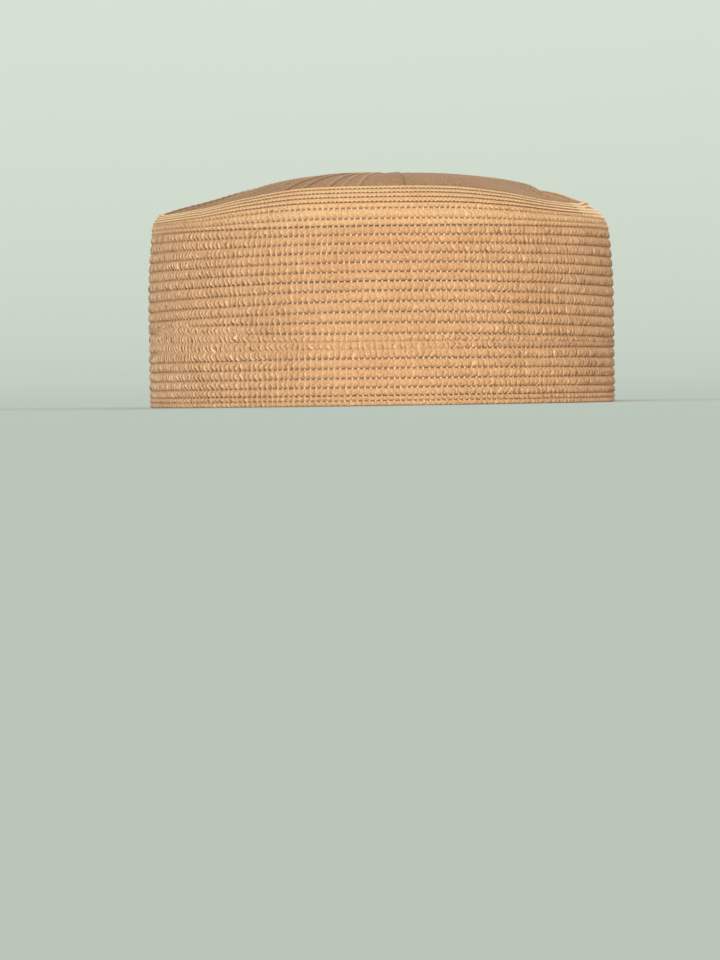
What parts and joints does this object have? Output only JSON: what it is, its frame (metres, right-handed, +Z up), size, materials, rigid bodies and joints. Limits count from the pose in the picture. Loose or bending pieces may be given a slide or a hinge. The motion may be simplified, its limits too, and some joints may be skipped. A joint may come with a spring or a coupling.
{
  "type": "kufi cap",
  "caption": "Brimless round cap of cloth stitched in rows over cord, with narrow rows at the rim and a low domed crown of tucked cloth, open below for the head.",
  "frame": {"origin": "middle of the opening, on the surface that the hem rests on", "axes": "+Z up through the crown, -Y towards the front, +Y along the cap's greater length, +X towards the right as seen from the front"},
  "size_m": [0.184, 0.196, 0.091],
  "materials": {
    "hem_cloth": "matte golden tan cotton cloth, stitched over cord",
    "side_cloth": "matte golden tan cotton cloth, stitched over cord with pale thread",
    "rim_cloth": "matte golden tan cotton cloth, closely stitched with pale thread",
    "crown_cloth": "matte brown tan cotton cloth, tucked"
  },
  "bodies": {
    "root": {"hem_cords": "hem_cloth", "side_band": "side_cloth", "rim_cords": "rim_cloth", "crown_panel": "crown_cloth"}
  },
  "joints": []
}
